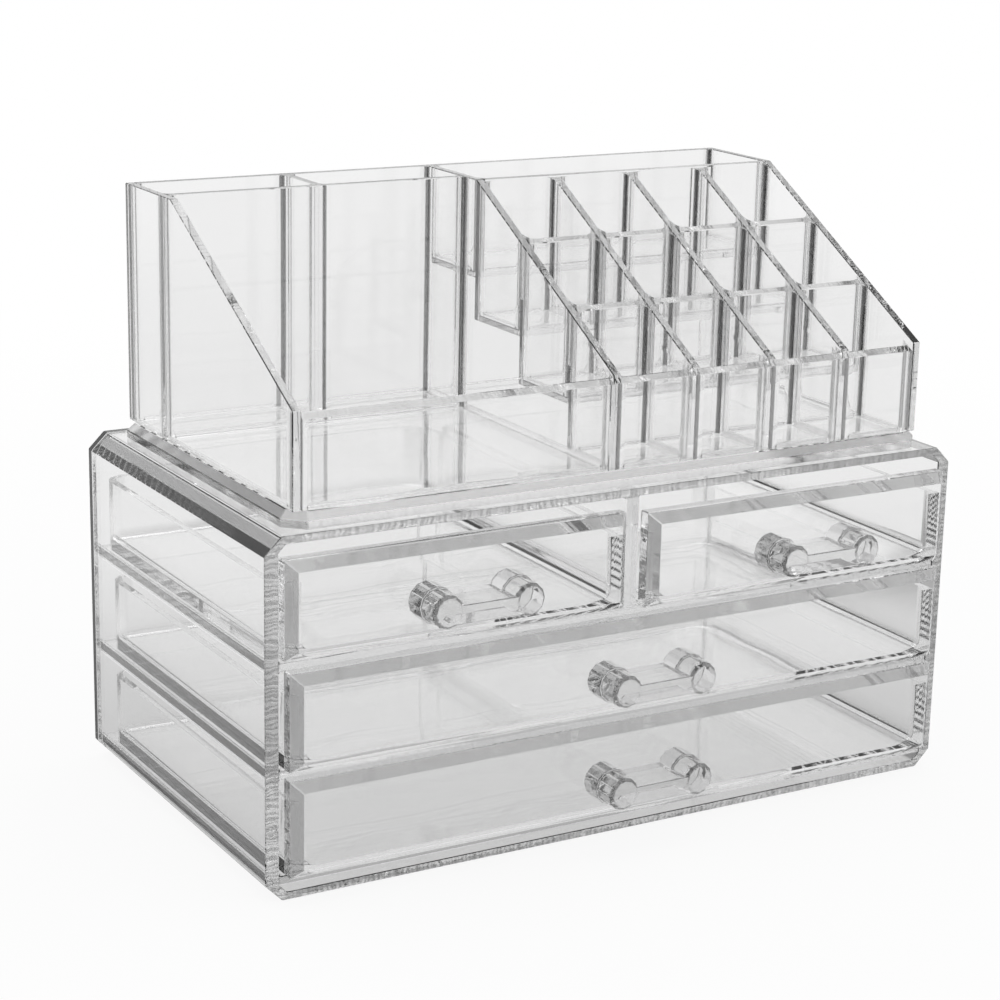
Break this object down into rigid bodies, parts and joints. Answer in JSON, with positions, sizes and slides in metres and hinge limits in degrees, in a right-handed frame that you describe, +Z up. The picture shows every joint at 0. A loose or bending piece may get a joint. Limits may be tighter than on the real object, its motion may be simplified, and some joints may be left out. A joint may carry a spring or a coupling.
{
  "type": "acrylic makeup organizer drawers",
  "caption": "Clear acrylic cosmetics organiser: bevelled drawer case with sliding drawers on faceted handles, and a lift-off stepped tray of open compartments.",
  "frame": {"origin": "on the ground, at the centre of the footprint of the whole part with its drawers at rest, handles included", "axes": "+Z up; +X to the right of someone facing the drawers; the drawers open towards -Y"},
  "size_m": [0.24, 0.1536, 0.1881],
  "materials": {
    "case_acrylic": "clear, polished",
    "front_acrylic": "clear, polished, bevels cut",
    "box_acrylic": "clear, polished",
    "handle_acrylic": "clear, faceted",
    "tray_acrylic": "clear, polished"
  },
  "bodies": {
    "case": {"case_sleeve": "case_acrylic", "case_back_panel": "case_acrylic", "case_floor_panel": "case_acrylic", "lower_shelf": "case_acrylic", "upper_shelf": "case_acrylic", "drawer_divider": "case_acrylic"},
    "upper_left_drawer": {"upper_left_drawer_front": "front_acrylic", "upper_left_drawer_box": "box_acrylic", "upper_left_drawer_handle": "handle_acrylic"},
    "upper_right_drawer": {"upper_right_drawer_front": "front_acrylic", "upper_right_drawer_box": "box_acrylic", "upper_right_drawer_handle": "handle_acrylic"},
    "middle_drawer": {"middle_drawer_front": "front_acrylic", "middle_drawer_box": "box_acrylic", "middle_drawer_handle": "handle_acrylic"},
    "lower_drawer": {"lower_drawer_front": "front_acrylic", "lower_drawer_box": "box_acrylic", "lower_drawer_handle": "handle_acrylic"},
    "tray": {"tray_base": "tray_acrylic", "tray_left_wall": "tray_acrylic", "tray_right_wall": "tray_acrylic", "tray_back_wall": "tray_acrylic", "tray_front_wall": "tray_acrylic", "tray_middle_wall": "tray_acrylic", "tall_compartment_divider": "tray_acrylic", "slot_block_side_wall": "tray_acrylic", "slot_divider_left": "tray_acrylic", "slot_divider_centre": "tray_acrylic", "slot_divider_right": "tray_acrylic", "slot_block_back_wall": "tray_acrylic", "rear_cross_wall": "tray_acrylic", "front_cross_wall": "tray_acrylic", "long_compartment_floor": "tray_acrylic", "rear_slot_floor": "tray_acrylic", "middle_slot_floor": "tray_acrylic"}
  },
  "joints": [
    {"name": "upper_left_drawer_slide", "type": "slide", "parent": "case", "child": "upper_left_drawer", "axis": [0, -1, 0], "range_m": [0, 0.09]},
    {"name": "upper_right_drawer_slide", "type": "slide", "parent": "case", "child": "upper_right_drawer", "axis": [0, -1, 0], "range_m": [-0.0034, 0.09]},
    {"name": "middle_drawer_slide", "type": "slide", "parent": "case", "child": "middle_drawer", "axis": [0, -1, 0], "range_m": [0, 0.09]},
    {"name": "lower_drawer_slide", "type": "slide", "parent": "case", "child": "lower_drawer", "axis": [0, -1, 0], "range_m": [0, 0.09]},
    {"name": "tray_lift", "type": "slide", "parent": "case", "child": "tray", "axis": [0, 0, 1], "range_m": [0, 0.06]}
  ]
}
